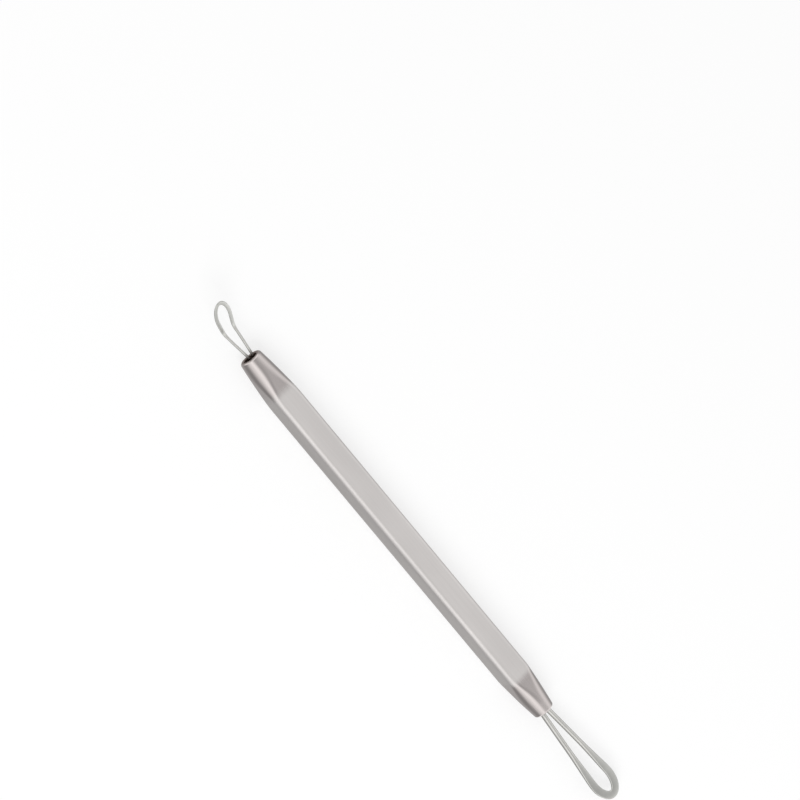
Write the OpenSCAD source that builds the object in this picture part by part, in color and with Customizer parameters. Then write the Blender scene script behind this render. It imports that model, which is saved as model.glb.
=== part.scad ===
// Blackhead extractor: a hollow steel handle with a wire loop brazed into each
// end. The handle is a tube pressed square along its middle and drawn down to a
// round rim at both ends. A small loop of thin wire, bent upward, stands out of
// one end and a long straight loop of thicker wire out of the other.
// Units are millimetres. +X runs along the handle to the large loop, +Z is up
// out of the flat that the small loop bends toward. The origin is the centre of
// the bounding box at the height of the lower flat, on which the tool rests.

/* [Handle tube] */

// Length of the hollow handle between its two rims
handle_len = 85.8; // [72:0.2:105]
// Distance across two opposite pressed flats
flats_across = 5.12; // [4.8:0.02:5.6]
// Rounding where two neighbouring flats meet
corner_r = 0.95; // [0.7:0.05:1.3]
// Thickness of the tube wall
wall = 0.45; // [0.3:0.05:0.55]
// Rounding of the outer edge of both rims
rim_round = 0.25; // [0.1:0.05:0.3]

/* [Small end of the handle] */

// Length of the drawn taper at the small loop's end
small_taper_len = 9.2; // [7:0.1:13]
// Outer diameter of that taper at half its length, where it has become round
small_mid_d = 5.1; // [4.8:0.05:5.6]
// Outer diameter of the rim at the small loop's end
small_rim_d = 4.25; // [3.9:0.05:4.8]
// Depth of the braze below the small end's rim
small_recess = 0.9; // [0.4:0.1:2]

/* [Large end of the handle] */

// Length of the drawn taper at the large loop's end
large_taper_len = 9.2; // [7:0.1:13]
// Outer diameter of that taper at half its length, where it has become round
large_mid_d = 4.98; // [4.8:0.02:5.6]
// Outer diameter of the rim at the large loop's end
large_rim_d = 4; // [3.8:0.05:4.8]
// Depth of the braze below the large end's rim
large_recess = 0.35; // [0.2:0.05:1.5]

/* [Braze and seating] */

// Length of the braze plug along the tube
braze_len = 4.5; // [3:0.5:8]
// How far the wires run on behind the braze
wire_tail = 0.6; // [0.2:0.1:2]

/* [Small loop] */

// Diameter of the wire of the small loop
small_wire_d = 0.5; // [0.4:0.05:0.55]
// Distance from the rim to the tip along the wire's unbent plane
small_reach = 13.5; // [11:0.1:17]
// Half the distance between the two legs where they leave the braze
small_leg_off = 0.3; // [0.28:0.01:0.4]
// How far each leg bows outward at half its length
small_leg_bow = 0.07; // [0:0.01:0.3]
// Half the width of the loop between the wire centres
small_half_w = 1.53; // [1.3:0.01:2.1]
// Length of the rounded tip, as a multiple of the half width
small_tip_ratio = 2.25; // [1:0.05:2.5]
// Distance from the rim to the start of the upward bend
small_bend_at = 5.5; // [4:0.1:7]
// Radius of the upward bend
small_bend_r = 2.8; // [2:0.1:6]
// Angle of the upward bend
small_bend = 36; // [15:1:50]
// Width of the flattened wire at the tip
small_band_w = 0.74; // [0.6:0.02:0.9]
// Thickness of the flattened wire at the tip
small_band_t = 0.27; // [0.2:0.01:0.4]
// Height of the legs against the middle of the tube
small_leg_z = 0.7; // [-0.6:0.05:0.8]

/* [Large loop] */

// Diameter of the wire of the large loop
large_wire_d = 1; // [0.7:0.05:1.1]
// Distance from the rim to the tip between the wire centres
large_reach = 21; // [16:0.25:30]
// Half the distance between the two legs where they leave the braze
large_leg_off = 0.6; // [0.58:0.02:0.72]
// How far each leg bows outward at half its length
large_leg_bow = 0.03; // [0:0.01:0.3]
// Half the width of the loop between the wire centres
large_half_w = 2.02; // [1.6:0.02:2.6]
// Length of the rounded tip, as a multiple of the half width
large_tip_ratio = 1.85; // [1:0.05:2.2]
// Width of the flattened wire at the tip
large_band_w = 1.55; // [1.1:0.01:1.8]
// Thickness of the flattened wire at the tip
large_band_t = 0.48; // [0.4:0.02:0.7]

/* [Part to show] */

// Which node to build

/* [Hidden] */

steel = [0.78, 0.77, 0.76];
satin = [0.74, 0.73, 0.72];
solder = [0.34, 0.31, 0.29];

half = handle_len / 2;
flat_h = flats_across / 2;
small_rim_r = small_rim_d / 2;
large_rim_r = large_rim_d / 2;
small_mid_r = small_mid_d / 2;
large_mid_r = large_mid_d / 2;
small_sh = -half + small_taper_len;
large_sh = half - large_taper_len;
// thickness of the slices that the drawn form is stretched over
slice = 0.01;
// how far a cutting body stands past the face that it opens
over = 0.5;
// sides of a full circle
round_sides = 48;
// part of a rounding that is gone half way round it
half_way = 1 - cos(45);
// the straight leg starts this far behind the face of the braze
leg_seat = 0.05;
// where each wire begins to be flattened, and where it is flat, from its rim
small_flat_from = small_bend_at - 0.5;
small_flat_to = small_bend_at + 2;
large_flat_from = large_reach * 0.41;
large_flat_to = large_reach * 0.88;
// stations along a leg and along a tip, and corners round each wire
leg_steps = 16;
tip_steps = 24;
small_sides = 16;
large_sides = 20;

// tip of a flattened wire band that leans by an angle: reach past its centre
function lean_reach(w, t, ang) =
    (w / 2) * sin(ang) <= t / 2 ? w / 2
    : sqrt(w * w - t * t) / 2 * cos(ang) + t / 2 * sin(ang);

// bend of the unbent plane: distance s along it becomes x and z
bend_len = small_bend_r * small_bend * PI / 180;
function bend_ang(s) =
    s < small_bend_at ? 0
    : s > small_bend_at + bend_len ? small_bend
    : (s - small_bend_at) / bend_len * small_bend;
function bend_x(s) =
    s < small_bend_at ? s
    : small_bend_at + small_bend_r * sin(bend_ang(s))
        + max(0, s - small_bend_at - bend_len) * cos(small_bend);
function bend_z(s) =
    s < small_bend_at ? 0
    : small_bend_r * (1 - cos(bend_ang(s)))
        + max(0, s - small_bend_at - bend_len) * sin(small_bend);

small_out = bend_x(small_reach) + lean_reach(small_band_w, small_band_t, small_bend);
large_out = large_reach + large_band_w / 2;
// the handle is moved along X so that the origin is under the middle
shift_x = (small_out - large_out) / 2;

// rises from 0 to 1 between a and b without a corner at either end
function ease(v, a, b) =
    let (u = min(1, max(0, (v - a) / (b - a)))) u * u * (3 - 2 * u);
function mix(a, b, u) = a + (b - a) * u;

// Outline of a loop in its unbent plane, as stations [s, y, heading]: a leg
// inside the braze, a slightly bowed leg to where it meets the rounded tip, the
// tip itself, and the same leg mirrored.
function outline(reach, half_w, ratio, leg_off, bow, tail, mouth) =
    let (
        ta = half_w * ratio,
        cx = reach - ta,
        px = (-mouth - cx) / ta,
        py = leg_off / half_w,
        g0 = atan2(py, px) - acos(1 / norm([px, py])),
        tx = cx + ta * cos(g0),
        ty = half_w * sin(g0),
        head = atan2(ty - leg_off, tx + mouth),
        leg = [for (i = [0 : leg_steps])
            let (u = i / leg_steps, lean = head + atan(bow * 4 * (1 - 2 * u) / (tx + mouth)))
            [mix(-mouth, tx, u), mix(leg_off, ty, u) + bow * 4 * u * (1 - u),
             i == 0 ? lean / 2 : lean]],
        tip = [for (i = [1 : tip_steps - 1])
            let (g = mix(g0, -g0, i / tip_steps))
            [cx + ta * cos(g), half_w * sin(g),
             atan2(-half_w * cos(g), ta * sin(g))]],
        first = concat([[-tail, leg_off, 0]], leg)
    )
    concat(first, tip, [for (i = [len(first) - 1 : -1 : 0])
        [first[i][0], -first[i][1], 180 - first[i][2]]]);

// One ring of a flattened wire at a station: a circle at the legs, and a
// circle pressed between two flats toward the tip.
function ring(st, wire_r, band_w, band_t, f0, f1, bent, sides) =
    let (
        s = st[0],
        q = ease(s, f0, f1),
        a = mix(wire_r, band_w / 2, q),
        b = mix(wire_r, band_t / 2, q),
        al = bent ? bend_ang(s) : 0,
        px = bent ? bend_x(s) : s,
        pz = bent ? bend_z(s) : 0
    )
    [for (k = [0 : sides - 1])
        let (
            ph = 360 * k / sides,
            across = a * cos(ph),
            up = min(b, max(-b, a * sin(ph))),
            ds = -sin(st[2]) * across,
            dy = cos(st[2]) * across
        )
        [px + ds * cos(al) - up * sin(al), st[1] + dy, pz + ds * sin(al) + up * cos(al)]];

// closed solid through a row of rings with the same number of points
module skin(rings) {
    n = len(rings[0]);
    m = len(rings);
    pts = [for (r = rings) for (p = r) p];
    sides_a = [for (i = [0 : m - 2]) for (k = [0 : n - 1])
        [i * n + k, (i + 1) * n + k, i * n + (k + 1) % n]];
    sides_b = [for (i = [0 : m - 2]) for (k = [0 : n - 1])
        [i * n + (k + 1) % n, (i + 1) * n + k, (i + 1) * n + (k + 1) % n]];
    cap_a = [[for (k = [0 : n - 1]) k]];
    cap_b = [[for (k = [n - 1 : -1 : 0]) (m - 1) * n + k]];
    polyhedron(points = pts, faces = concat(sides_a, sides_b, cap_a, cap_b), convexity = 6);
}

// puts a body drawn about the middle of the handle into the part's frame
module seat() {
    translate([shift_x, 0, flat_h])
        children();
}

// square with four round corners
module rounded_square(h, r) {
    union() {
        square([2 * h, 2 * (h - r)], center = true);
        square([2 * (h - r), 2 * h], center = true);
        for (sy = [-1, 1])
            for (sz = [-1, 1])
                translate([sy * (h - r), sz * (h - r)])
                    circle(r = r, $fn = round_sides);
    }
}

// thin slice of the pressed section whose inner side is at x
module square_slice(x, inset) {
    translate([x, 0, 0])
        rotate([90, 0, 90])
            linear_extrude(height = slice)
                rounded_square(flat_h - inset, corner_r - inset);
}

// thin round slice that ends at x
module round_slice(x, r) {
    translate([x - slice, 0, 0])
        rotate([90, 0, 90])
            cylinder(h = slice, r = r, $fn = round_sides);
}

// drawn taper from the pressed section at 0, over a round section at half its
// length, to a round end with a rounded rim
module taper(len, mid_r, rim_r, inset, edge) {
    hull() {
        square_slice(0, inset);
        round_slice(len / 2, mid_r - inset);
        round_slice(len - edge, rim_r - inset);
        round_slice(len - edge * half_way, rim_r - inset - edge * half_way);
        round_slice(len, rim_r - inset - edge);
    }
}

// outside or inside skin of the tube as a solid: a rounded square bar between
// two drawn tapers
module tube_form(inset, edge) {
    union() {
        translate([small_sh, 0, 0])
            rotate([90, 0, 90])
                linear_extrude(height = large_sh - small_sh)
                    rounded_square(flat_h - inset, corner_r - inset);
        translate([large_sh, 0, 0])
            taper(large_taper_len, large_mid_r, large_rim_r, inset, edge);
        translate([small_sh, 0, 0])
            mirror([1, 0, 0])
                taper(small_taper_len, small_mid_r, small_rim_r, inset, edge);
    }
}

// opens the mouth of the tube through its rim's face
module mouth_cutter(rim_r) {
    rotate([0, 90, 0])
        cylinder(h = 2 * over, r = rim_r - wall, $fn = round_sides);
}

// hollow handle with an open rim at both ends
module handle_tube() {
    color(satin)
        seat()
            difference() {
                tube_form(0, rim_round);
                tube_form(wall, 0);
                translate([-half - over, 0, 0])
                    mouth_cutter(small_rim_r);
                translate([half - over, 0, 0])
                    mouth_cutter(large_rim_r);
            }
}

// plug of braze that fills a taper behind its rim, pierced by two legs; drawn
// with the pressed section at 0 and the rim at len
module braze(len, mid_r, rim_r, recess, leg_off, leg_z, wire_r) {
    difference() {
        intersection() {
            taper(len, mid_r, rim_r, wall, 0);
            translate([len - recess - braze_len, -flat_h, -flat_h])
                cube([braze_len, 2 * flat_h, 2 * flat_h]);
        }
        for (sy = [-1, 1])
            translate([len - recess - braze_len - over, sy * leg_off, leg_z])
                rotate([0, 90, 0])
                    cylinder(h = braze_len + 2 * over, r = wire_r, $fn = round_sides);
    }
}

// braze in the small end, set back so that the mouth of the tube is a dark hollow
module small_braze() {
    color(solder)
        seat()
            translate([small_sh, 0, 0])
                mirror([1, 0, 0])
                    braze(small_taper_len, small_mid_r, small_rim_r, small_recess,
                          small_leg_off, small_leg_z, small_wire_d / 2);
}

// braze in the large end
module large_braze() {
    color(solder)
        seat()
            translate([large_sh, 0, 0])
                braze(large_taper_len, large_mid_r, large_rim_r, large_recess,
                      large_leg_off, 0, large_wire_d / 2);
}

// small loop of thin wire, flattened and bent upward toward its tip
module small_loop() {
    tail = small_recess + braze_len + wire_tail;
    path = outline(small_reach, small_half_w, small_tip_ratio, small_leg_off,
                   small_leg_bow, tail, small_recess - leg_seat);
    rings = [for (st = path)
        ring(st, small_wire_d / 2, small_band_w, small_band_t,
             small_flat_from, small_flat_to, true, small_sides)];
    color(steel)
        seat()
            translate([-half, 0, small_leg_z])
                mirror([1, 0, 0])
                    skin(rings);
}

// large loop of thicker wire, straight, with a flattened tip
module large_loop() {
    tail = large_recess + braze_len + wire_tail;
    path = outline(large_reach, large_half_w, large_tip_ratio, large_leg_off,
                   large_leg_bow, tail, large_recess - leg_seat);
    rings = [for (st = path)
        ring(st, large_wire_d / 2, large_band_w, large_band_t,
             large_flat_from, large_flat_to, false, large_sides)];
    color(steel)
        seat()
            translate([half, 0, 0])
                skin(rings);
}

handle_tube();
small_braze();
large_braze();
small_loop();
large_loop();
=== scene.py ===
# Looks of a steel blackhead extractor, built around its CAD frame: the square
# handle with its drawn ends, the braze inside them and the two wire loops.
import math

import bpy
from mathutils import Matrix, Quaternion, Vector, noise


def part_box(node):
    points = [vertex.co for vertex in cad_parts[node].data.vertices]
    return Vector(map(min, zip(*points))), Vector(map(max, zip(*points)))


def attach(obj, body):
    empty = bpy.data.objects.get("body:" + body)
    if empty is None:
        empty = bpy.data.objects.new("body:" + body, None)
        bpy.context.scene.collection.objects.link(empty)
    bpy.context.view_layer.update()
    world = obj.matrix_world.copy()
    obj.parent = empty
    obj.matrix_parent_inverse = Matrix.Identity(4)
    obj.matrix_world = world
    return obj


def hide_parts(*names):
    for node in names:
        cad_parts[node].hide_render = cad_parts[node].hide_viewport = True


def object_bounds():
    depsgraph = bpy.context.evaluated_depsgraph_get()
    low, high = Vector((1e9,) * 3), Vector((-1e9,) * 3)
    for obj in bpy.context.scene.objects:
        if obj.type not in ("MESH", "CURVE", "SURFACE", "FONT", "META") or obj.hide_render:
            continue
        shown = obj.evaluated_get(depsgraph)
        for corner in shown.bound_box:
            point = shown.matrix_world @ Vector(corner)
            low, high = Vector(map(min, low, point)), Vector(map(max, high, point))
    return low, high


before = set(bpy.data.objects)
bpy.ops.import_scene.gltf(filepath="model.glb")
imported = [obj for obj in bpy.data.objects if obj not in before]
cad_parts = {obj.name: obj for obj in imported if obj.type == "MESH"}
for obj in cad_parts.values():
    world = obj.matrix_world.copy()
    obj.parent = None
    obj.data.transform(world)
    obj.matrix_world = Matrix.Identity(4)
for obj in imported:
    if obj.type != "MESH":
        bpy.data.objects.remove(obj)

bl_info = {
    "name": "Blackhead extractor",
    "version": (1, 0, 0),
    "blender": (4, 5, 0),
    "location": "3D View > Sidebar > Extractor",
    "description": "Builds a steel blackhead extractor around its CAD frame",
    "category": "Add Mesh",
}

BODY = "root"
MM = 0.001
CAD_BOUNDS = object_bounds()

HANDLE_LOW, HANDLE_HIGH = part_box("handle_tube")
SMALL_RIM_X = HANDLE_LOW.x
LARGE_RIM_X = HANDLE_HIGH.x
FLAT_HALF = (HANDLE_HIGH.z - HANDLE_LOW.z) / 2
AXIS_Z = (HANDLE_HIGH.z + HANDLE_LOW.z) / 2


def linear(hex_colour):
    """Linear red, green and blue of an sRGB hex colour such as "#C0C0C0"."""
    channels = [int(hex_colour[i:i + 2], 16) / 255 for i in (1, 3, 5)]
    return tuple(c / 12.92 if c <= 0.04045 else ((c + 0.055) / 1.055) ** 2.4 for c in channels)


def length(name, description, millimetres):
    """A length property whose default is given in millimetres."""
    return bpy.props.FloatProperty(
        name=name, description=description, default=millimetres * MM,
        precision=5, subtype="DISTANCE", unit="LENGTH")


def angle(name, description, degrees):
    """An angle property whose default is given in degrees."""
    return bpy.props.FloatProperty(
        name=name, description=description, default=math.radians(degrees),
        subtype="ANGLE", unit="ROTATION")


def level(name, description, default):
    """A plain number without a unit."""
    return bpy.props.FloatProperty(name=name, description=description, default=default)


def colour(name, description, hex_colour):
    """A colour property whose default is an sRGB hex colour."""
    return bpy.props.FloatVectorProperty(
        name=name, description=description, default=linear(hex_colour),
        size=3, min=0.0, max=1.0, subtype="COLOR")


class HandleSizes(bpy.types.PropertyGroup):
    """Sizes and tones of the handle."""
    corner_radius: length("Corner radius", "Rounding between two pressed flats", 0.95)
    wall: length("Wall", "Thickness of the tube wall", 0.45)
    small_rim_round: length("Small rim rounding", "Rounding of the small rim's outer edge", 0.4)
    large_rim_round: length("Large rim rounding", "Rounding of the large rim's outer edge", 0.25)
    lip: length("Lip", "How far the small rim is rolled in past the wall", 0.36)
    small_taper: length("Small taper", "Length of the taper at the small loop", 9.2)
    small_round_at: level(
        "Small round at", "Part of the small taper along which the flats run out", 0.62)
    small_rim: length("Small rim", "Outer diameter of the rim at the small loop", 4.25)
    small_fold: length("Small fold", "How softly the flats turn into the small taper", 1.6)
    large_taper: length("Large taper", "Length of the taper at the large loop", 9.2)
    large_round_at: level(
        "Large round at", "Part of the large taper along which the flats run out", 0.55)
    large_rim: length("Large rim", "Outer diameter of the rim at the large loop", 4)
    large_fold: length("Large fold", "How softly the flats turn into the large taper", 0.5)
    round_ease: length("Round ease", "How softly both tapers become round", 2)
    small_buff: bpy.props.FloatVectorProperty(
        name="Small buff", description="Where the buffing of the small taper begins and is full, "
        "0 being its fold and 1 its rim", default=(0.03, 0.26), size=2)
    large_buff: bpy.props.FloatVectorProperty(
        name="Large buff", description="Where the buffing of the large taper begins and is full, "
        "0 being its fold and 1 its rim", default=(0.0, 0.19), size=2)
    steel: colour("Steel", "Tone of the satin flats", "#E0DCDA")
    polished: colour("Polished steel", "Tone of the polished tapers", "#C8C1BF")
    # painted shade and soot: dark tone for the bore, where shade falls inside the tube, and for the
    # rims
    shade_and_soot: colour("Shade and soot", "Heat-darkened wall inside the mouths and over their lips", "#7A6E68")


class BrazeSizes(bpy.types.PropertyGroup):
    """Sizes and tone of the braze that holds the wires."""
    small_recess: length("Small recess", "Depth of the braze below the small rim", 0.9)
    large_recess: length("Large recess", "Depth of the braze below the large rim", 0.35)
    plug: length("Plug", "Length of the braze along the tube", 4.5)
    tail: length("Tail", "How far the wires run on behind the braze", 0.6)
    climb: length("Climb", "How far the braze climbs the wall and the wires", 0.16)
    # the braze is given a dark tone, which the pits lighten in spots
    tone: colour("Tone", "Tone of the braze under its scale", "#70645F")


class SmallLoopSizes(bpy.types.PropertyGroup):
    """Sizes of the small bent loop."""
    wire: length("Wire", "Diameter of the wire", 0.5)
    reach: length("Reach", "From the rim to the tip before the bend is made", 13.5)
    leg_off: length("Leg offset", "Half the distance between the legs at the braze", 0.3)
    leg_bow: length("Leg bow", "How far each leg bows outward", 0.07)
    half_width: length("Half width", "Half the width between the wire centres", 1.53)
    tip_ratio: level("Tip ratio", "Length of the rounded tip over the half width", 2.25)
    leg_z: length("Leg height", "Height of the legs against the tube's middle", 0.7)
    bend_at: length("Bend start", "From the rim to the start of the bend", 5.5)
    bend_radius: length("Bend radius", "Radius of the upward bend", 2.8)
    bend: angle("Bend", "Angle of the upward bend", 36)
    band_width: length("Band width", "Width of the flattened wire", 0.74)
    band_thickness: length("Band thickness", "Thickness of the flattened wire", 0.27)
    flat_from: length("Flat from", "Where the hammered flat begins", 5)
    flat_to: length("Flat to", "Where the wire is fully flat", 7.5)
    # painted shade: the legs are darkened from the braze to this far out of the rim
    shade_reach: length("Heat reach", "How far out of the rim the legs are darkened", 1.9)


class LargeLoopSizes(bpy.types.PropertyGroup):
    """Sizes of the large straight loop."""
    wire: length("Wire", "Diameter of the wire", 1)
    reach: length("Reach", "From the rim to the tip between the wire centres", 21)
    leg_off: length("Leg offset", "Half the distance between the legs at the braze", 0.6)
    leg_bow: length("Leg bow", "How far each leg bows outward", 0.03)
    half_width: length("Half width", "Half the width between the wire centres", 2.02)
    tip_ratio: level("Tip ratio", "Length of the rounded tip over the half width", 1.85)
    leg_z: length("Leg height", "Height of the legs against the tube's middle", 0)
    bend_at: length("Bend start", "From the rim to the start of the bend", 21)
    bend_radius: length("Bend radius", "Radius of the upward bend", 2.8)
    bend: angle("Bend", "Angle of the upward bend", 0)
    band_width: length("Band width", "Width of the flattened wire", 1.545)
    band_thickness: length("Band thickness", "Thickness of the flattened wire", 0.48)
    flat_from: length("Flat from", "Where the hammered flat begins", 8.6)
    flat_to: length("Flat to", "Where the wire is fully flat", 18.5)
    # painted shade: the legs are darkened from the braze to this far out of the rim
    shade_reach: length("Heat reach", "How far out of the rim the legs are darkened", 0.4)


class WireFinish(bpy.types.PropertyGroup):
    """Tones of the wires."""
    drawn: colour("Drawn", "Tone of the round drawn wire", "#D2D1CD")
    hammered: colour("Hammered", "Tone of the hammered band", "#C3C3BF")
    # painted shade: the tone that stands in for the shade on the legs in and near the mouths
    shade_painted: colour("Painted shade", "Tone that brazing left on the legs in the mouths", "#3A322E")


class StageSettings(bpy.types.PropertyGroup):
    """Camera and light."""
    azimuth: angle("Azimuth", "Turn of the camera round the object, 0 looking along +Y", -39.8514)
    elevation: angle("Elevation", "Height of the camera above the horizon", 62.3928)
    roll: angle("Roll", "Turn of the camera about its own line of sight", 87.0144)
    distance: length("Distance", "From the camera to the point it looks at", 797.9)
    aim_x: length("Aim X", "Point the camera looks at, along the handle", -22.158)
    aim_y: length("Aim Y", "Point the camera looks at, across the handle", 16.689)
    lens: level("Lens", "Focal length in millimetres", 202.5)
    backdrop: colour("Backdrop", "Colour of the floor and the backdrop", "#FFFFFF")
    ambient: level("Ambient", "Level of the even studio light", 0.62)
    key: level("Key", "Level that the key lamp would add on a white floor", 0.36)


def add_node(tree, kind, inputs=None, **settings):
    """Adds a node. settings are its own options; inputs gives its sockets, by name or number,
    a value, a socket, or a node whose first live output is taken."""
    node = tree.nodes.new(kind)
    for name, value in settings.items():
        setattr(node, name, value)
    live = [s for s in node.inputs if s.enabled]
    for key, value in (inputs or {}).items():
        socket = live[key] if isinstance(key, int) else next(s for s in live if s.name == key)
        if isinstance(value, bpy.types.Node):
            value = next(s for s in value.outputs if s.enabled)
        if isinstance(value, bpy.types.NodeSocket):
            tree.links.new(value, socket)
        else:
            socket.default_value = value
    return node


def new_material(name):
    """An empty node material, and its tree."""
    material = bpy.data.materials.new(name)
    material.use_nodes = True
    material.node_tree.nodes.clear()
    return material, material.node_tree


def mix(a, b, share):
    """The value that share of the way from a to b."""
    return a + (b - a) * share


def smooth(value, start, end):
    """Rises from 0 at start to 1 at end without a corner."""
    t = min(1.0, max(0.0, (value - start) / (end - start)))
    return t * t * (3 - 2 * t)


def satin_stainless_steel(sizes):
    """Stainless tube, satin in its middle and buffed bright on its drawn ends: long fine grain and
    faint clouds along the tube, a clear mirror on the ends, and a dark tone in the mouths and on
    their lips that is painted shade of the bore, with some soot."""
    material, tree = new_material("satin_stainless_steel")
    grain_pitch = 0.30 * MM
    grain_run = 16 * MM
    cloud_size = 6 * MM
    place = add_node(tree, "ShaderNodeTexCoord").outputs["Object"]
    polish = add_node(tree, "ShaderNodeAttribute", attribute_name="polish").outputs["Fac"]
    inside = add_node(tree, "ShaderNodeAttribute", attribute_name="inside").outputs["Fac"]
    # the grain is drawn coarser than real grit, so that it shows at all
    grain_place = add_node(tree, "ShaderNodeMapping", {
        "Vector": place, "Scale": (1 / grain_run, 1 / grain_pitch, 1 / grain_pitch)})
    grain = add_node(tree, "ShaderNodeTexNoise", {
        "Vector": grain_place, "Scale": 1.0, "Detail": 3.0, "Roughness": 0.6})
    cloud_place = add_node(tree, "ShaderNodeMapping", {
        "Vector": place, "Scale": (0.3 / cloud_size, 1 / cloud_size, 1 / cloud_size)})
    clouds = add_node(tree, "ShaderNodeTexNoise", {
        "Vector": cloud_place, "Scale": 1.0, "Detail": 2.0})
    steel = add_node(tree, "ShaderNodeMix", {
        "Factor": polish, "A": (*sizes.steel, 1), "B": (*sizes.polished, 1)}, data_type="RGBA")
    cloud_tone = add_node(tree, "ShaderNodeMapRange", {
        "Value": clouds.outputs["Fac"], "From Min": 0.3, "From Max": 0.7,
        "To Min": 0.95, "To Max": 1.04})
    grain_tone = add_node(tree, "ShaderNodeMapRange", {
        "Value": grain.outputs["Fac"], "From Min": 0.3, "From Max": 0.7,
        "To Min": 0.975, "To Max": 1.02})
    tone = add_node(tree, "ShaderNodeMath", {0: cloud_tone, 1: grain_tone}, operation="MULTIPLY")
    toned = add_node(tree, "ShaderNodeVectorMath", {0: steel, "Scale": tone}, operation="SCALE")
    # painted shade and soot: the bore and the rims are mixed toward the dark tone
    base = add_node(tree, "ShaderNodeMix", {
        "Factor": inside, "A": toned, "B": (*sizes.shade_and_soot, 1)}, data_type="RGBA")
    gloss = add_node(tree, "ShaderNodeMapRange", {"Value": polish, "To Min": 0.50, "To Max": 0.14})
    streak = add_node(tree, "ShaderNodeMapRange", {
        "Value": grain.outputs["Fac"], "From Min": 0.3, "From Max": 0.7,
        "To Min": -0.03, "To Max": 0.03})
    rough = add_node(tree, "ShaderNodeMath", {0: gloss, 1: streak}, operation="ADD")
    dull = add_node(tree, "ShaderNodeMix", {
        "Factor": inside, "A": rough, "B": 0.75}, data_type="FLOAT")
    relief = add_node(tree, "ShaderNodeMapRange", {"Value": polish, "To Min": 0.22, "To Max": 0.03})
    bump = add_node(tree, "ShaderNodeBump", {
        "Strength": relief, "Distance": 0.01 * MM, "Height": grain.outputs["Fac"]})
    surface = add_node(tree, "ShaderNodeBsdfPrincipled", {
        "Base Color": base, "Metallic": 1.0, "Roughness": dull, "Normal": bump})
    add_node(tree, "ShaderNodeOutputMaterial", {"Surface": surface})
    return material


def drawn_stainless_wire(finish):
    """Stainless wire, drawn through a die and hammered flat toward the tip: bright round legs with
    fine lines along them, darkened in and near the mouths by painted shade, and a greyer, slightly
    dented band."""
    material, tree = new_material("drawn_stainless_wire")
    line_run = 4 * MM
    dent_size = 0.9 * MM
    along = add_node(tree, "ShaderNodeAttribute", attribute_name="grain").outputs["Vector"]
    flat = add_node(tree, "ShaderNodeAttribute", attribute_name="flat").outputs["Fac"]
    mouth_shade = add_node(tree, "ShaderNodeAttribute", attribute_name="mouth_shade").outputs["Fac"]
    place = add_node(tree, "ShaderNodeTexCoord").outputs["Object"]
    # the lines run along the wire, about nine of them round it
    line_place = add_node(tree, "ShaderNodeMapping", {
        "Vector": along, "Scale": (1 / line_run, 3.0, 3.0)})
    lines = add_node(tree, "ShaderNodeTexNoise", {
        "Vector": line_place, "Scale": 1.0, "Detail": 2.0, "Roughness": 0.6})
    dents = add_node(tree, "ShaderNodeTexNoise", {
        "Vector": place, "Scale": 1 / dent_size, "Detail": 1.0})
    tone = add_node(tree, "ShaderNodeMix", {
        "Factor": flat, "A": (*finish.drawn, 1), "B": (*finish.hammered, 1)}, data_type="RGBA")
    line_tone = add_node(tree, "ShaderNodeMapRange", {
        "Value": lines.outputs["Fac"], "From Min": 0.3, "From Max": 0.7,
        "To Min": 0.93, "To Max": 1.06})
    toned = add_node(tree, "ShaderNodeVectorMath", {0: tone, "Scale": line_tone}, operation="SCALE")
    # painted shade: the legs darken toward the mouths
    with_painted_shade = add_node(tree, "ShaderNodeMix", {
        "Factor": mouth_shade, "A": toned, "B": (*finish.shade_painted, 1)}, data_type="RGBA")
    rough = add_node(tree, "ShaderNodeMapRange", {"Value": flat, "To Min": 0.34, "To Max": 0.30})
    dent_bump = add_node(tree, "ShaderNodeBump", {
        "Strength": 0.25, "Distance": 0.04 * MM, "Height": dents.outputs["Fac"]})
    bump = add_node(tree, "ShaderNodeBump", {
        "Strength": 0.2, "Distance": 0.01 * MM, "Height": lines.outputs["Fac"],
        "Normal": dent_bump})
    surface = add_node(tree, "ShaderNodeBsdfPrincipled", {
        "Base Color": with_painted_shade, "Metallic": 1.0, "Roughness": rough, "Normal": bump})
    add_node(tree, "ShaderNodeOutputMaterial", {"Surface": surface})
    return material


def dark_silver_braze(sizes):
    """Silver braze that ran between wires and tube, coloured dark: dull, lumpy and pitted, with a
    few bare metal spots."""
    material, tree = new_material("dark_silver_braze")
    pit_size = 0.25 * MM
    place = add_node(tree, "ShaderNodeTexCoord").outputs["Object"]
    pits = add_node(tree, "ShaderNodeTexNoise", {
        "Vector": place, "Scale": 1 / pit_size, "Detail": 4.0, "Roughness": 0.6})
    tone = add_node(tree, "ShaderNodeMapRange", {
        "Value": pits.outputs["Fac"], "From Min": 0.35, "From Max": 0.75,
        "To Min": 0.7, "To Max": 1.9})
    toned = add_node(tree, "ShaderNodeVectorMath", {
        0: sizes.tone, "Scale": tone}, operation="SCALE")
    rough = add_node(tree, "ShaderNodeMapRange", {
        "Value": pits.outputs["Fac"], "From Min": 0.35, "From Max": 0.75,
        "To Min": 0.75, "To Max": 0.45})
    bump = add_node(tree, "ShaderNodeBump", {
        "Strength": 0.6, "Distance": 0.04 * MM, "Height": pits.outputs["Fac"]})
    surface = add_node(tree, "ShaderNodeBsdfPrincipled", {
        "Base Color": toned, "Metallic": 0.8, "Roughness": rough, "Normal": bump})
    add_node(tree, "ShaderNodeOutputMaterial", {"Surface": surface})
    return material


def soft_ramp(distance, softness):
    """0 before a fold, distance after it, and a parabola between the two."""
    if distance <= -softness:
        return 0.0
    if distance >= softness:
        return distance
    return (distance + softness) ** 2 / (4 * softness)


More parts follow.
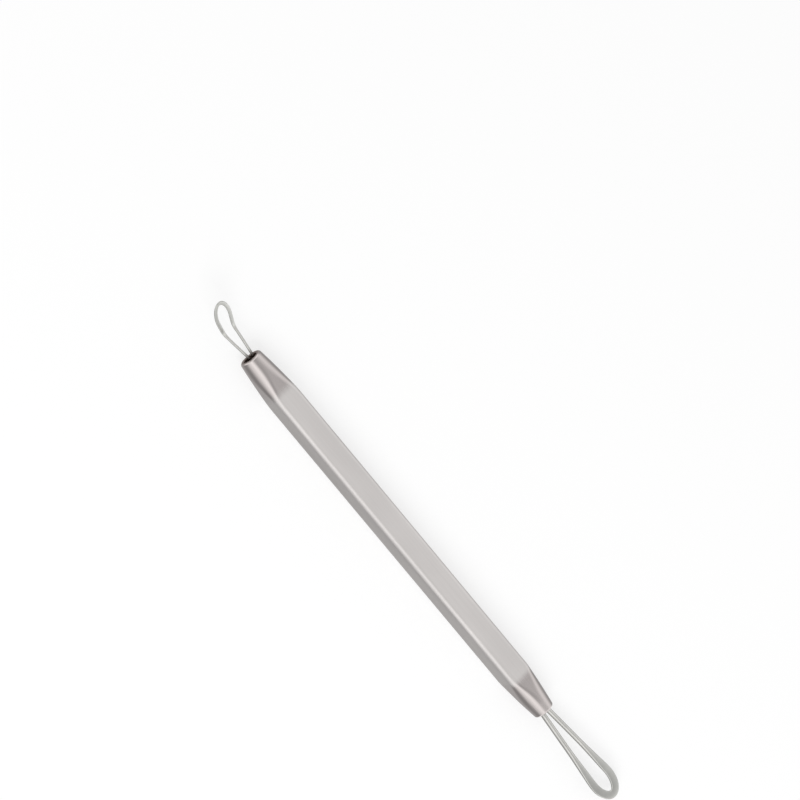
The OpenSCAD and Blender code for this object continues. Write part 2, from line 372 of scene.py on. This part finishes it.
def handle_section(sizes, x):
    """How square the handle is at x, from 1 in the middle to 0 where its flats have run out, half
    its width across the flats there, and how far along a taper it is, 1 being the rim."""
    if x < (SMALL_RIM_X + LARGE_RIM_X) / 2:
        run, fold = sizes.small_taper, sizes.small_fold
        round_run, rim = sizes.small_taper * sizes.small_round_at, sizes.small_rim / 2
        past_fold = SMALL_RIM_X + run - x
    else:
        run, fold = sizes.large_taper, sizes.large_fold
        round_run, rim = sizes.large_taper * sizes.large_round_at, sizes.large_rim / 2
        past_fold = x - LARGE_RIM_X + run
    to_rim = soft_ramp(past_fold - round_run, sizes.round_ease)
    to_round = soft_ramp(past_fold, fold) - to_rim
    half = mix(FLAT_HALF, rim, min(1.0, to_rim / (run - round_run)))
    return 1 - min(1.0, to_round / round_run), half, past_fold / run


def rounded_square_reach(turn, half, corner):
    """From the middle of a rounded square to its edge, in the direction turn."""
    folded = abs((turn + math.pi / 4) % (math.pi / 2) - math.pi / 4)
    centre = half - corner
    if half * math.tan(folded) <= centre:
        return half / math.cos(folded)
    return (centre * (math.cos(folded) + math.sin(folded))
            + math.sqrt(corner ** 2 - centre ** 2 * (1 - math.sin(2 * folded))))


def handle_ring(sizes, x, inset, count):
    """Points of the handle's section at x, that far inside its outer skin."""
    squareness, half, _ = handle_section(sizes, x)
    corner = mix(half, sizes.corner_radius, squareness)
    points = []
    for i in range(count):
        turn = 2 * math.pi * i / count
        reach = rounded_square_reach(turn, half - inset, corner - inset)
        points.append((x, reach * math.cos(turn), AXIS_Z + reach * math.sin(turn)))
    return points


def skin(name, rings, closed):
    """Mesh through rings of equally many points. A closed one joins its last ring to its first;
    an open one is capped with a fan at both ends."""
    count = len(rings[0])
    points = [p for ring in rings for p in ring]
    faces = []
    for r in range(len(rings) if closed else len(rings) - 1):
        here, there = r * count, (r + 1) % len(rings) * count
        for i in range(count):
            j = (i + 1) % count
            faces.append((here + i, here + j, there + j, there + i))
    if not closed:
        for start, flip in ((0, True), ((len(rings) - 1) * count, False)):
            ring = points[start:start + count]
            points.append(tuple(sum(p[k] for p in ring) / count for k in range(3)))
            for i in range(count):
                j = (i + 1) % count
                pair = (start + j, start + i) if flip else (start + i, start + j)
                faces.append((*pair, len(points) - 1))
    mesh = bpy.data.meshes.new(name)
    mesh.from_pydata(points, [], faces)
    mesh.shade_smooth()
    return mesh


def spread(start, end, step):
    """Evenly spaced values from start to end, about step apart, the last one left out."""
    count = max(1, round(abs(end - start) / step))
    return [mix(start, end, i / count) for i in range(count)]


def finish_piece(name, mesh, material, slot, *nodes):
    """Puts a finished mesh in the scene in place of its CAD nodes."""
    mesh.materials.clear()
    mesh.materials.append(material)
    piece = bpy.data.objects.new(name, mesh)
    bpy.context.scene.collection.objects.link(piece)
    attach(piece, BODY)
    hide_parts(*nodes)
    return piece


class EXTRACTOR_OT_handle(bpy.types.Operator):
    """Build the hollow square handle with its two drawn ends"""
    bl_idname = "extractor.handle"
    bl_label = "Build handle"

    around = 160
    coarse = 2.5 * MM
    fine = 0.15 * MM
    arc_steps = 8
    inner_round = 0.06 * MM
    lip_round = 0.15 * MM
    lip_depth = 0.7 * MM
    # how much painted shade and soot lies over the rims, and where it begins and is full in the bore
    shade_and_soot_over_lip = 0.8
    shade_and_soot_begins = -0.5 * MM
    shade_and_soot_full = 0.25 * MM

    def execute(self, context):
        sizes = context.scene.extractor_handle
        outside = self.outside_stations(sizes)
        inside = self.inside_stations(sizes)
        rings = [handle_ring(sizes, x, inset, self.around) for x, inset in outside + inside]
        mesh = skin("handle", rings, closed=True)
        mesh.flip_normals()
        self.mark_finish(mesh, sizes, outside, inside)
        finish_piece("handle", mesh, satin_stainless_steel(sizes), "satin_steel", "handle_tube")
        return {"FINISHED"}

    def stations_between(self, sizes, low, high):
        """Places along the handle from low to high, close together where its section changes."""
        small_fold = SMALL_RIM_X + sizes.small_taper + sizes.small_fold
        large_fold = LARGE_RIM_X - sizes.large_taper - sizes.large_fold
        return (spread(low, small_fold, self.fine) + spread(small_fold, large_fold, self.coarse)
                + spread(large_fold, high, self.fine) + [high])

    def outside_stations(self, sizes):
        """(x, inset) from the small rim's face over the outer skin to the large rim's face."""
        at_small, at_large = sizes.small_rim_round, sizes.large_rim_round
        turns = [math.radians(90 * i / self.arc_steps) for i in range(self.arc_steps)]
        arc = [(1 - math.cos(turn), 1 - math.sin(turn)) for turn in turns]
        small = [(SMALL_RIM_X + at_small * a, at_small * b) for a, b in arc]
        large = [(LARGE_RIM_X - at_large * a, at_large * b) for a, b in reversed(arc)]
        skin_x = self.stations_between(sizes, SMALL_RIM_X + at_small, LARGE_RIM_X - at_large)
        return small + [(x, 0.0) for x in skin_x] + large

    def inside_stations(self, sizes):
        """(x, inset) from the large rim's face back through the bore and over the rolled lip to the
        small rim's face."""
        lip_inset = sizes.wall + sizes.lip
        bore_x = self.stations_between(
            sizes, SMALL_RIM_X + self.lip_round, LARGE_RIM_X - self.inner_round)
        bore = []
        for x in reversed(bore_x):
            past_lip = smooth(x - SMALL_RIM_X, self.lip_round, self.lip_depth)
            bore.append((x, mix(lip_inset, sizes.wall, past_lip)))
        return ([(LARGE_RIM_X, sizes.wall - self.inner_round)] + bore
                + [(SMALL_RIM_X, lip_inset - self.lip_round)])

    def mark_finish(self, mesh, sizes, outside, inside):
        """Stores where the steel is polished, and where it takes the dark tone of the bore: painted
        shade through the bore, with some soot, crept part way over the rims."""
        polish = []
        shade_and_soot = []
        for x, _ in outside + inside:
            at_small = x < (SMALL_RIM_X + LARGE_RIM_X) / 2
            begin, full = sizes.small_buff if at_small else sizes.large_buff
            polish += [smooth(handle_section(sizes, x)[2], begin, full)] * self.around
        # painted shade and soot on the rounded rims
        for _, inset in outside:
            shade_and_soot += [self.shade_and_soot_over_lip * smooth(inset, 0.0, sizes.wall)] * self.around
        # painted shade and soot through the whole bore, from just inside each rim
        for x, _ in inside:
            depth = min(x - SMALL_RIM_X, LARGE_RIM_X - x)
            shade_and_soot += [smooth(depth, self.shade_and_soot_begins, self.shade_and_soot_full)] * self.around
        for name, values in (("polish", polish), ("inside", shade_and_soot)):
            mesh.attributes.new(name, "FLOAT", "POINT").data.foreach_set("value", values)


class EXTRACTOR_OT_braze(bpy.types.Operator):
    """Build the braze that holds the wires inside both mouths"""
    bl_idname = "extractor.braze"
    bl_label = "Build braze"

    around = 72
    front_rings = 22
    seat = 0.03 * MM
    lump = 0.05 * MM
    lump_size = 0.5 * MM
    back_step = 0.5 * MM

    def execute(self, context):
        scene = context.scene
        material = dark_silver_braze(scene.extractor_braze)
        self.plug("small_braze", SMALL_RIM_X, 1, scene.extractor_braze.small_recess,
                  scene.extractor_small_loop, material)
        self.plug("large_braze", LARGE_RIM_X, -1, scene.extractor_braze.large_recess,
                  scene.extractor_large_loop, material)
        return {"FINISHED"}

    def plug(self, node, rim_x, inward, recess, loop, material):
        """One plug: a front that climbs the wall and the wires, the wall's shape, a flat back."""
        sizes = bpy.context.scene.extractor_braze
        handle = bpy.context.scene.extractor_handle
        inset = handle.wall - self.seat
        front_x = rim_x + inward * recess
        wall_ring = handle_ring(handle, front_x, inset, self.around)
        middle = Vector((front_x, 0, AXIS_Z))
        rings = []
        for i in range(1, self.front_rings + 1):
            share = i / self.front_rings
            ring = []
            for point in wall_ring:
                flat = middle.lerp(Vector(point), share)
                rise = self.rise(flat, (Vector(point) - flat).length, loop, sizes.climb)
                ring.append((flat.x - inward * rise, flat.y, flat.z))
            rings.append(ring)
        back_x = front_x + inward * sizes.plug
        for x in spread(front_x + inward * self.seat, back_x, self.back_step) + [back_x]:
            rings.append(handle_ring(handle, x, inset, self.around))
        mesh = skin(node + "_metal", rings, closed=False)
        if inward < 0:
            mesh.flip_normals()
        finish_piece(node + "_metal", mesh, material, "braze", node)

    def rise(self, place, to_wall, loop, climb):
        """How far the front stands out at a place: fillets at the wall and the wires, and lumps."""
        legs = [Vector((place.x, side * loop.leg_off, AXIS_Z + loop.leg_z)) for side in (-1, 1)]
        to_wire = max(0.0, min((place - leg).length for leg in legs) - loop.wire / 2)
        fillets = climb * math.exp(-to_wall / climb) + climb * math.exp(-to_wire / climb)
        return fillets + self.lump * noise.noise(place / self.lump_size)


def wire_path(sizes, mouth, tail):
    """Centre line of a loop before its bend is made, in its own plane: x away from the rim and y
    across. Bowed legs meet an oval tip without a corner."""
    leg_steps = 40
    tip_steps = 64
    tip_length = sizes.half_width * sizes.tip_ratio
    tip_x = sizes.reach - tip_length
    start = Vector(((-mouth - tip_x) / tip_length, sizes.leg_off / sizes.half_width))
    touch = math.atan2(start.y, start.x) - math.acos(1 / start.length)
    leg_x = tip_x + tip_length * math.cos(touch)
    leg_y = sizes.half_width * math.sin(touch)
    half = [(-tail, sizes.leg_off)]
    for i in range(leg_steps + 1):
        share = i / leg_steps
        bow = sizes.leg_bow * 4 * share * (1 - share)
        half.append((mix(-mouth, leg_x, share), mix(sizes.leg_off, leg_y, share) + bow))
    tip = []
    for i in range(1, tip_steps):
        turn = mix(touch, -touch, i / tip_steps)
        tip.append((tip_x + tip_length * math.cos(turn), sizes.half_width * math.sin(turn)))
    return half + tip + [(x, -y) for x, y in reversed(half)]


def wire_loop_tree():
    """Geometry nodes that turn a loop's flat centre line into round wire, press it flat toward the
    tip, bend it upward, and put it at its rim."""
    tree = bpy.data.node_groups.new("Wire loop", "GeometryNodeTree")
    tree.interface.new_socket("Geometry", in_out="INPUT", socket_type="NodeSocketGeometry")
    for name in ("Wire Radius", "Band Half Width", "Band Half Thickness", "Flat From", "Flat To",
                 "Bend At", "Bend Radius", "Bend Angle", "Shade Reach", "Turn"):
        tree.interface.new_socket(name, in_out="INPUT", socket_type="NodeSocketFloat")
    tree.interface.new_socket("Sides", in_out="INPUT", socket_type="NodeSocketInt")
    tree.interface.new_socket("Place", in_out="INPUT", socket_type="NodeSocketVector")
    tree.interface.new_socket("Material", in_out="INPUT", socket_type="NodeSocketMaterial")
    tree.interface.new_socket("Geometry", in_out="OUTPUT", socket_type="NodeSocketGeometry")
    given = add_node(tree, "NodeGroupInput").outputs

    # round tube of radius 1 about the line, which keeps its own centre and direction
    line = add_node(tree, "GeometryNodeMeshToCurve", {"Mesh": given["Geometry"]})
    kept = add_node(tree, "GeometryNodeCaptureAttribute", {"Geometry": line})
    kept.capture_items.new("VECTOR", "Centre")
    kept.capture_items.new("VECTOR", "Heading")
    kept.capture_items.new("FLOAT", "Along")
    position = add_node(tree, "GeometryNodeInputPosition").outputs["Position"]
    tangent = add_node(tree, "GeometryNodeInputTangent").outputs["Tangent"]
    travelled = add_node(tree, "GeometryNodeSplineParameter").outputs["Length"]
    tree.links.new(position, kept.inputs["Centre"])
    tree.links.new(tangent, kept.inputs["Heading"])
    tree.links.new(travelled, kept.inputs["Along"])
    circle = add_node(tree, "GeometryNodeCurvePrimitiveCircle", {
        "Resolution": given["Sides"], "Radius": 1.0})
    tube = add_node(tree, "GeometryNodeCurveToMesh", {
        "Curve": kept.outputs["Geometry"], "Profile Curve": circle, "Fill Caps": True})

    # where a point is on that unit circle: side across the loop's plane, rise out of it
    offset = add_node(tree, "ShaderNodeVectorMath", {
        0: position, 1: kept.outputs["Centre"]}, operation="SUBTRACT")
    across = add_node(tree, "ShaderNodeVectorMath", {
        0: (0.0, 0.0, 1.0), 1: kept.outputs["Heading"]}, operation="CROSS_PRODUCT")
    side = add_node(tree, "ShaderNodeVectorMath", {
        0: offset, 1: across}, operation="DOT_PRODUCT").outputs["Value"]
    rise = add_node(tree, "ShaderNodeSeparateXYZ", {0: offset}).outputs["Z"]

    # the wire's half width and half thickness there, and the pressed place in the flat plane
    distance = add_node(tree, "ShaderNodeSeparateXYZ", {0: kept.outputs["Centre"]}).outputs["X"]
    pressed = add_node(tree, "ShaderNodeMapRange", {
        "Value": distance, "From Min": given["Flat From"], "From Max": given["Flat To"]},
        interpolation_type="SMOOTHSTEP")
    half_width = add_node(tree, "ShaderNodeMix", {
        "Factor": pressed, "A": given["Wire Radius"],
        "B": given["Band Half Width"]}, data_type="FLOAT")
    half_thick = add_node(tree, "ShaderNodeMix", {
        "Factor": pressed, "A": given["Wire Radius"],
        "B": given["Band Half Thickness"]}, data_type="FLOAT")
    spare = add_node(tree, "ShaderNodeMath", {0: half_width, 1: half_thick}, operation="SUBTRACT")
    side_sign = add_node(tree, "ShaderNodeMath", {0: side}, operation="SIGN")
    rounded = add_node(tree, "ShaderNodeMath", {0: side, 1: half_thick}, operation="MULTIPLY")
    to_side = add_node(tree, "ShaderNodeMath", {
        0: spare, 1: side_sign, 2: rounded}, operation="MULTIPLY_ADD")
    lift = add_node(tree, "ShaderNodeMath", {0: rise, 1: half_thick}, operation="MULTIPLY")
    sideways = add_node(tree, "ShaderNodeVectorMath", {
        0: across, "Scale": to_side}, operation="SCALE")
    in_plane = add_node(tree, "ShaderNodeVectorMath", {
        0: kept.outputs["Centre"], 1: sideways}, operation="ADD")
    flat_place = add_node(tree, "ShaderNodeSeparateXYZ", {0: in_plane})

    # the bend: straight up to Bend At, an arc, and straight again at Bend Angle
    past = add_node(tree, "ShaderNodeMath", {
        0: flat_place.outputs["X"], 1: given["Bend At"]}, operation="SUBTRACT")
    arc_length = add_node(tree, "ShaderNodeMath", {
        0: given["Bend Radius"], 1: given["Bend Angle"]}, operation="MULTIPLY")
    arc_share = add_node(tree, "ShaderNodeMath", {
        0: past, 1: arc_length}, operation="DIVIDE", use_clamp=True)
    lean = add_node(tree, "ShaderNodeMath", {
        0: arc_share, 1: given["Bend Angle"]}, operation="MULTIPLY")
    before = add_node(tree, "ShaderNodeMath", {
        0: flat_place.outputs["X"], 1: given["Bend At"]}, operation="MINIMUM")
    after_arc = add_node(tree, "ShaderNodeMath", {0: past, 1: arc_length}, operation="SUBTRACT")
    after = add_node(tree, "ShaderNodeMath", {0: after_arc, 1: 0.0}, operation="MAXIMUM")
    lean_sin = add_node(tree, "ShaderNodeMath", {0: lean}, operation="SINE")
    lean_cos = add_node(tree, "ShaderNodeMath", {0: lean}, operation="COSINE")
    end_sin = add_node(tree, "ShaderNodeMath", {0: given["Bend Angle"]}, operation="SINE")
    end_cos = add_node(tree, "ShaderNodeMath", {0: given["Bend Angle"]}, operation="COSINE")
    # x = before + radius sin + after cos - lift sin, and z in the same way
    x_arc = add_node(tree, "ShaderNodeMath", {
        0: given["Bend Radius"], 1: lean_sin, 2: before}, operation="MULTIPLY_ADD")
    x_after = add_node(tree, "ShaderNodeMath", {
        0: after, 1: end_cos, 2: x_arc}, operation="MULTIPLY_ADD")
    x_lift = add_node(tree, "ShaderNodeMath", {0: lift, 1: lean_sin}, operation="MULTIPLY")
    x_place = add_node(tree, "ShaderNodeMath", {0: x_after, 1: x_lift}, operation="SUBTRACT")
    fall = add_node(tree, "ShaderNodeMath", {0: 1.0, 1: lean_cos}, operation="SUBTRACT")
    z_lift = add_node(tree, "ShaderNodeMath", {0: lift, 1: lean_cos}, operation="MULTIPLY")
    z_arc = add_node(tree, "ShaderNodeMath", {
        0: given["Bend Radius"], 1: fall, 2: z_lift}, operation="MULTIPLY_ADD")
    z_place = add_node(tree, "ShaderNodeMath", {
        0: after, 1: end_sin, 2: z_arc}, operation="MULTIPLY_ADD")
    bent = add_node(tree, "ShaderNodeCombineXYZ", {
        "X": x_place, "Y": flat_place.outputs["Y"], "Z": z_place})
    shaped = add_node(tree, "GeometryNodeSetPosition", {"Geometry": tube, "Position": bent})

    # for the finish: grain coordinates along and round the wire, how flat it is and how much painted
    # shade it takes at the mouths
    grain = add_node(tree, "ShaderNodeCombineXYZ", {
        "X": kept.outputs["Along"], "Y": side, "Z": rise})
    grained = add_node(tree, "GeometryNodeStoreNamedAttribute", {
        "Geometry": shaped, "Name": "grain",
        "Value": grain}, data_type="FLOAT_VECTOR", domain="POINT")
    flattened = add_node(tree, "GeometryNodeStoreNamedAttribute", {
        "Geometry": grained, "Name": "flat", "Value": pressed}, data_type="FLOAT", domain="POINT")
    # painted shade mask: full inside the rim, fading to none a given reach outside it
    mouth_shade_mask = add_node(tree, "ShaderNodeMapRange", {
        "Value": distance, "From Min": given["Shade Reach"], "From Max": 0.0},
        interpolation_type="SMOOTHSTEP")
    shade_painted = add_node(tree, "GeometryNodeStoreNamedAttribute", {
        "Geometry": flattened, "Name": "mouth_shade",
        "Value": mouth_shade_mask}, data_type="FLOAT", domain="POINT")
    turn = add_node(tree, "ShaderNodeCombineXYZ", {"Z": given["Turn"]})
    placed = add_node(tree, "GeometryNodeTransform", {
        "Geometry": shade_painted, "Translation": given["Place"], "Rotation": turn})
    smoothed = add_node(tree, "GeometryNodeSetShadeSmooth", {
        "Geometry": placed, "Shade Smooth": True})
    real = add_node(tree, "GeometryNodeRealizeInstances", {"Geometry": smoothed})
    coated = add_node(tree, "GeometryNodeSetMaterial", {
        "Geometry": real, "Material": given["Material"]})
    add_node(tree, "NodeGroupOutput", {"Geometry": coated})
    return tree


class EXTRACTOR_OT_loops(bpy.types.Operator):
    """Build the small bent loop and the large straight loop"""
    bl_idname = "extractor.loops"
    bl_label = "Build wire loops"

    sides = 28
    into_braze = 0.05 * MM

    def execute(self, context):
        scene = context.scene
        braze = scene.extractor_braze
        material = drawn_stainless_wire(scene.extractor_wire)
        tree = wire_loop_tree()
        self.loop("small_loop", scene.extractor_small_loop, braze.small_recess, SMALL_RIM_X,
                  math.pi, tree, material)
        self.loop("large_loop", scene.extractor_large_loop, braze.large_recess, LARGE_RIM_X,
                  0.0, tree, material)
        return {"FINISHED"}

    def loop(self, node, sizes, recess, rim_x, turn, tree, material):
        """One loop, made from its centre line by the node tree and put in place of its CAD node."""
        braze = bpy.context.scene.extractor_braze
        path = wire_path(sizes, recess - self.into_braze, recess + braze.plug + braze.tail)
        points = [(x, y, 0.0) for x, y in path]
        edges = [(i, i + 1) for i in range(len(path) - 1)]
        line = bpy.data.meshes.new(node + "_line")
        line.from_pydata(points, edges, [])
        maker = bpy.data.objects.new(node + "_maker", line)
        bpy.context.scene.collection.objects.link(maker)
        modifier = maker.modifiers.new("Wire loop", "NODES")
        modifier.node_group = tree
        values = {
            "Wire Radius": sizes.wire / 2,
            "Band Half Width": sizes.band_width / 2,
            "Band Half Thickness": sizes.band_thickness / 2,
            "Flat From": sizes.flat_from,
            "Flat To": sizes.flat_to,
            "Bend At": sizes.bend_at,
            "Bend Radius": sizes.bend_radius,
            "Bend Angle": sizes.bend,
            "Shade Reach": sizes.shade_reach,
            "Turn": turn,
            "Sides": self.sides,
            "Place": (rim_x, 0.0, AXIS_Z + sizes.leg_z),
            "Material": material,
        }
        for item in tree.interface.items_tree:
            if item.in_out == "INPUT" and item.name in values:
                modifier[item.identifier] = values[item.name]
        graph = bpy.context.evaluated_depsgraph_get()
        mesh = bpy.data.meshes.new_from_object(maker.evaluated_get(graph))
        bpy.data.objects.remove(maker)
        if len(mesh.polygons) == 0:
            raise RuntimeError(node + ": the node tree made no faces")
        finish_piece(node + "_wire", mesh, material, "wire_steel", node)


def studio_floor(stage):
    """Matte paper sweep in the backdrop's colour that takes the object's shadow. Seen from below it
    isn't there, and metal mirrors the studio's own tones in its place."""
    material, tree = new_material("paper_sweep")
    # part of the paper's tone takes the shadow, and the rest glows, so the shadow stays pale
    in_shadow = 0.36
    own_glow = 0.66
    shaded = (*(in_shadow * c for c in stage.backdrop), 1)
    paper = add_node(tree, "ShaderNodeBsdfDiffuse", {"Color": shaded})
    path = add_node(tree, "ShaderNodeLightPath")
    seen = add_node(tree, "ShaderNodeMath", {
        0: path.outputs["Is Camera Ray"],
        1: path.outputs["Is Transmission Ray"]}, operation="MAXIMUM")
    bright = add_node(tree, "ShaderNodeMath", {0: seen, 1: own_glow}, operation="MULTIPLY")
    glow = add_node(tree, "ShaderNodeEmission", {"Color": (*stage.backdrop, 1), "Strength": bright})
    lit = add_node(tree, "ShaderNodeAddShader", {0: paper, 1: glow})
    below = add_node(tree, "ShaderNodeNewGeometry").outputs["Backfacing"]
    unseen = add_node(tree, "ShaderNodeMath", {
        0: path.outputs["Is Glossy Ray"], 1: below}, operation="MAXIMUM")
    clear = add_node(tree, "ShaderNodeBsdfTransparent")
    surface = add_node(tree, "ShaderNodeMixShader", {0: unseen, 1: lit, 2: clear})
    add_node(tree, "ShaderNodeOutputMaterial", {"Surface": surface})
    return material


def studio_world(stage):
    """Even light, a backdrop in its own colour for the camera, and for what the metal mirrors a
    pale studio: long soft boxes beside the tool over a grey table, and walls past its ends."""
    world = bpy.data.worlds.new("studio")
    world.use_nodes = True
    tree = world.node_tree
    tree.nodes.clear()
    toward = add_node(tree, "ShaderNodeTexCoord").outputs["Generated"]
    # studio across the tool: angle in degrees from straight up toward -Y, and brightness there
    boxes = ((-180, 0.56), (-150, 0.50), (-122, 0.43), (-104, 0.43), (-90, 0.62), (-77, 0.90),
             (-65, 1.06), (-53, 1.04), (-42, 0.90), (-31, 0.77), (-21, 0.68), (-12, 0.62),
             (-4, 0.57), (3, 0.55), (9, 0.57), (15, 0.70), (21, 0.98), (28, 1.24), (36, 1.40),
             (45, 1.36), (55, 1.19), (65, 1.05), (75, 0.86), (85, 0.64), (95, 0.44), (107, 0.34),
             (121, 0.36), (140, 0.48), (158, 0.57), (180, 0.56))
    ramp_top = 1.6
    # studio past the tool's ends: a lit rim of each end wall, and the wall itself
    wall_rim = 1.25
    wall = 0.85
    split = add_node(tree, "ShaderNodeSeparateXYZ", {0: toward})
    front = add_node(tree, "ShaderNodeMath", {0: split.outputs["Y"], 1: -1.0}, operation="MULTIPLY")
    around = add_node(tree, "ShaderNodeMath", {0: front, 1: split.outputs["Z"]}, operation="ARCTAN2")
    place = add_node(tree, "ShaderNodeMapRange", {
        "Value": around, "From Min": -math.pi, "From Max": math.pi})
    tones = add_node(tree, "ShaderNodeValToRGB", {"Fac": place})
    ramp = tones.color_ramp
    ramp.interpolation = "B_SPLINE"
    while len(ramp.elements) < len(boxes):
        ramp.elements.new(0.5)
    for element, (turn, _) in zip(ramp.elements, boxes):
        element.position = (turn + 180) / 360
    for element, (_, bright) in zip(ramp.elements, boxes):
        element.color = (*[bright / ramp_top] * 3, 1)
    # 0 straight across the tool and 1 straight along it
    sideways = add_node(tree, "ShaderNodeMath", {0: split.outputs["X"]}, operation="ABSOLUTE")
    toward_ends = add_node(tree, "ShaderNodeMapRange", {
        "Value": sideways, "From Min": 0.56, "From Max": 0.68}, interpolation_type="SMOOTHSTEP")
    at_ends = add_node(tree, "ShaderNodeMapRange", {
        "Value": sideways, "From Min": 0.86, "From Max": 0.96}, interpolation_type="SMOOTHSTEP")
    boxed = add_node(tree, "ShaderNodeMath", {0: tones, 1: ramp_top}, operation="MULTIPLY")
    rimmed = add_node(tree, "ShaderNodeMix", {
        "Factor": toward_ends, "A": boxed, "B": wall_rim}, data_type="FLOAT")
    mirrored = add_node(tree, "ShaderNodeMix", {
        "Factor": at_ends, "A": rimmed, "B": wall}, data_type="FLOAT")
    path = add_node(tree, "ShaderNodeLightPath")
    white = (1, 1, 1, 1)
    even = add_node(tree, "ShaderNodeBackground", {"Color": white, "Strength": stage.ambient})
    studio = add_node(tree, "ShaderNodeBackground", {"Color": white, "Strength": mirrored})
    backdrop = (*stage.backdrop, 1)
    shown = add_node(tree, "ShaderNodeBackground", {"Color": backdrop, "Strength": 1.0})
    in_metal = add_node(tree, "ShaderNodeMixShader", {
        0: path.outputs["Is Glossy Ray"], 1: even, 2: studio})
    in_glass = add_node(tree, "ShaderNodeMixShader", {
        0: path.outputs["Is Transmission Ray"], 1: in_metal, 2: shown})
    sky = add_node(tree, "ShaderNodeMixShader", {
        0: path.outputs["Is Camera Ray"], 1: in_glass, 2: shown})
    add_node(tree, "ShaderNodeOutputWorld", {"Surface": sky})
    return world


class EXTRACTOR_OT_stage(bpy.types.Operator):
    """Set the floor, the light and the camera"""
    bl_idname = "extractor.stage"
    bl_label = "Set stage"

    floor_half = 3.0
    floor_gap = 0.02 * MM
    key_side = 0.5
    key_from = (0.25, -0.75, 0.85)
    key_distance = 0.9

    def execute(self, context):
        scene = context.scene
        stage = scene.extractor_stage
        scene.view_settings.view_transform = "Standard"
        scene.world = studio_world(stage)
        self.add_floor(stage)
        self.add_key(stage)
        self.add_camera(stage)
        return {"FINISHED"}

    def add_floor(self, stage):
        """A wide level floor just under the handle's lower flat."""
        half = self.floor_half
        z = CAD_BOUNDS[0].z - self.floor_gap
        corners = [(-half, -half, z), (half, -half, z), (half, half, z), (-half, half, z)]
        mesh = bpy.data.meshes.new("floor")
        mesh.from_pydata(corners, [], [(0, 1, 2, 3)])
        mesh.materials.append(studio_floor(stage))
        floor = bpy.data.objects.new("floor", mesh)
        bpy.context.scene.collection.objects.link(floor)

    def add_key(self, stage):
        """A large square lamp, in front and above, that gives the floor its soft shadow."""
        data = bpy.data.lights.new("key", "AREA")
        data.shape = "SQUARE"
        data.size = self.key_side
        toward_object = -Vector(self.key_from).normalized()
        slant = -toward_object.z
        data.energy = stage.key * math.pi ** 2 * self.key_distance ** 2 / slant
        lamp = bpy.data.objects.new("key", data)
        lamp.location = -toward_object * self.key_distance
        lamp.rotation_euler = toward_object.to_track_quat("-Z", "Y").to_euler()
        lamp.visible_glossy = False
        bpy.context.scene.collection.objects.link(lamp)

    def add_camera(self, stage):
        """The photograph's point of view."""
        data = bpy.data.cameras.new("camera")
        data.lens = stage.lens
        data.clip_start = 0.05
        data.clip_end = 50
        camera = bpy.data.objects.new("camera", data)
        level_reach = math.cos(stage.elevation)
        back = Vector((math.sin(stage.azimuth) * level_reach,
                       -math.cos(stage.azimuth) * level_reach, math.sin(stage.elevation)))
        camera.location = Vector((stage.aim_x, stage.aim_y, AXIS_Z)) + back * stage.distance
        upright = (-back).to_track_quat("-Z", "Y")
        camera.rotation_mode = "QUATERNION"
        camera.rotation_quaternion = upright @ Quaternion((0, 0, 1), stage.roll)
        bpy.context.scene.collection.objects.link(camera)
        bpy.context.scene.camera = camera


class EXTRACTOR_PT_panel(bpy.types.Panel):
    """Lists the steps that build the extractor"""
    bl_idname = "EXTRACTOR_PT_panel"
    bl_label = "Blackhead extractor"
    bl_space_type = "VIEW_3D"
    bl_region_type = "UI"
    bl_category = "Extractor"

    def draw(self, context):
        for operator in OPERATORS:
            self.layout.operator(operator.bl_idname)


SETTINGS = {
    "extractor_handle": HandleSizes,
    "extractor_braze": BrazeSizes,
    "extractor_small_loop": SmallLoopSizes,
    "extractor_large_loop": LargeLoopSizes,
    "extractor_wire": WireFinish,
    "extractor_stage": StageSettings,
}
OPERATORS = (EXTRACTOR_OT_handle, EXTRACTOR_OT_braze, EXTRACTOR_OT_loops, EXTRACTOR_OT_stage)


def register():
    """Registers the settings, operators and panel."""
    for name, group in SETTINGS.items():
        bpy.utils.register_class(group)
        setattr(bpy.types.Scene, name, bpy.props.PointerProperty(type=group))
    for cls in (*OPERATORS, EXTRACTOR_PT_panel):
        bpy.utils.register_class(cls)


def unregister():
    """Takes them away again."""
    for cls in (EXTRACTOR_PT_panel, *reversed(OPERATORS)):
        bpy.utils.unregister_class(cls)
    for name, group in reversed(SETTINGS.items()):
        delattr(bpy.types.Scene, name)
        bpy.utils.unregister_class(group)


def main():
    """Builds the whole scene."""
    register()
    bpy.ops.extractor.handle()
    bpy.ops.extractor.braze()
    bpy.ops.extractor.loops()
    bpy.ops.extractor.stage()


if __name__ == "__main__":
    main()
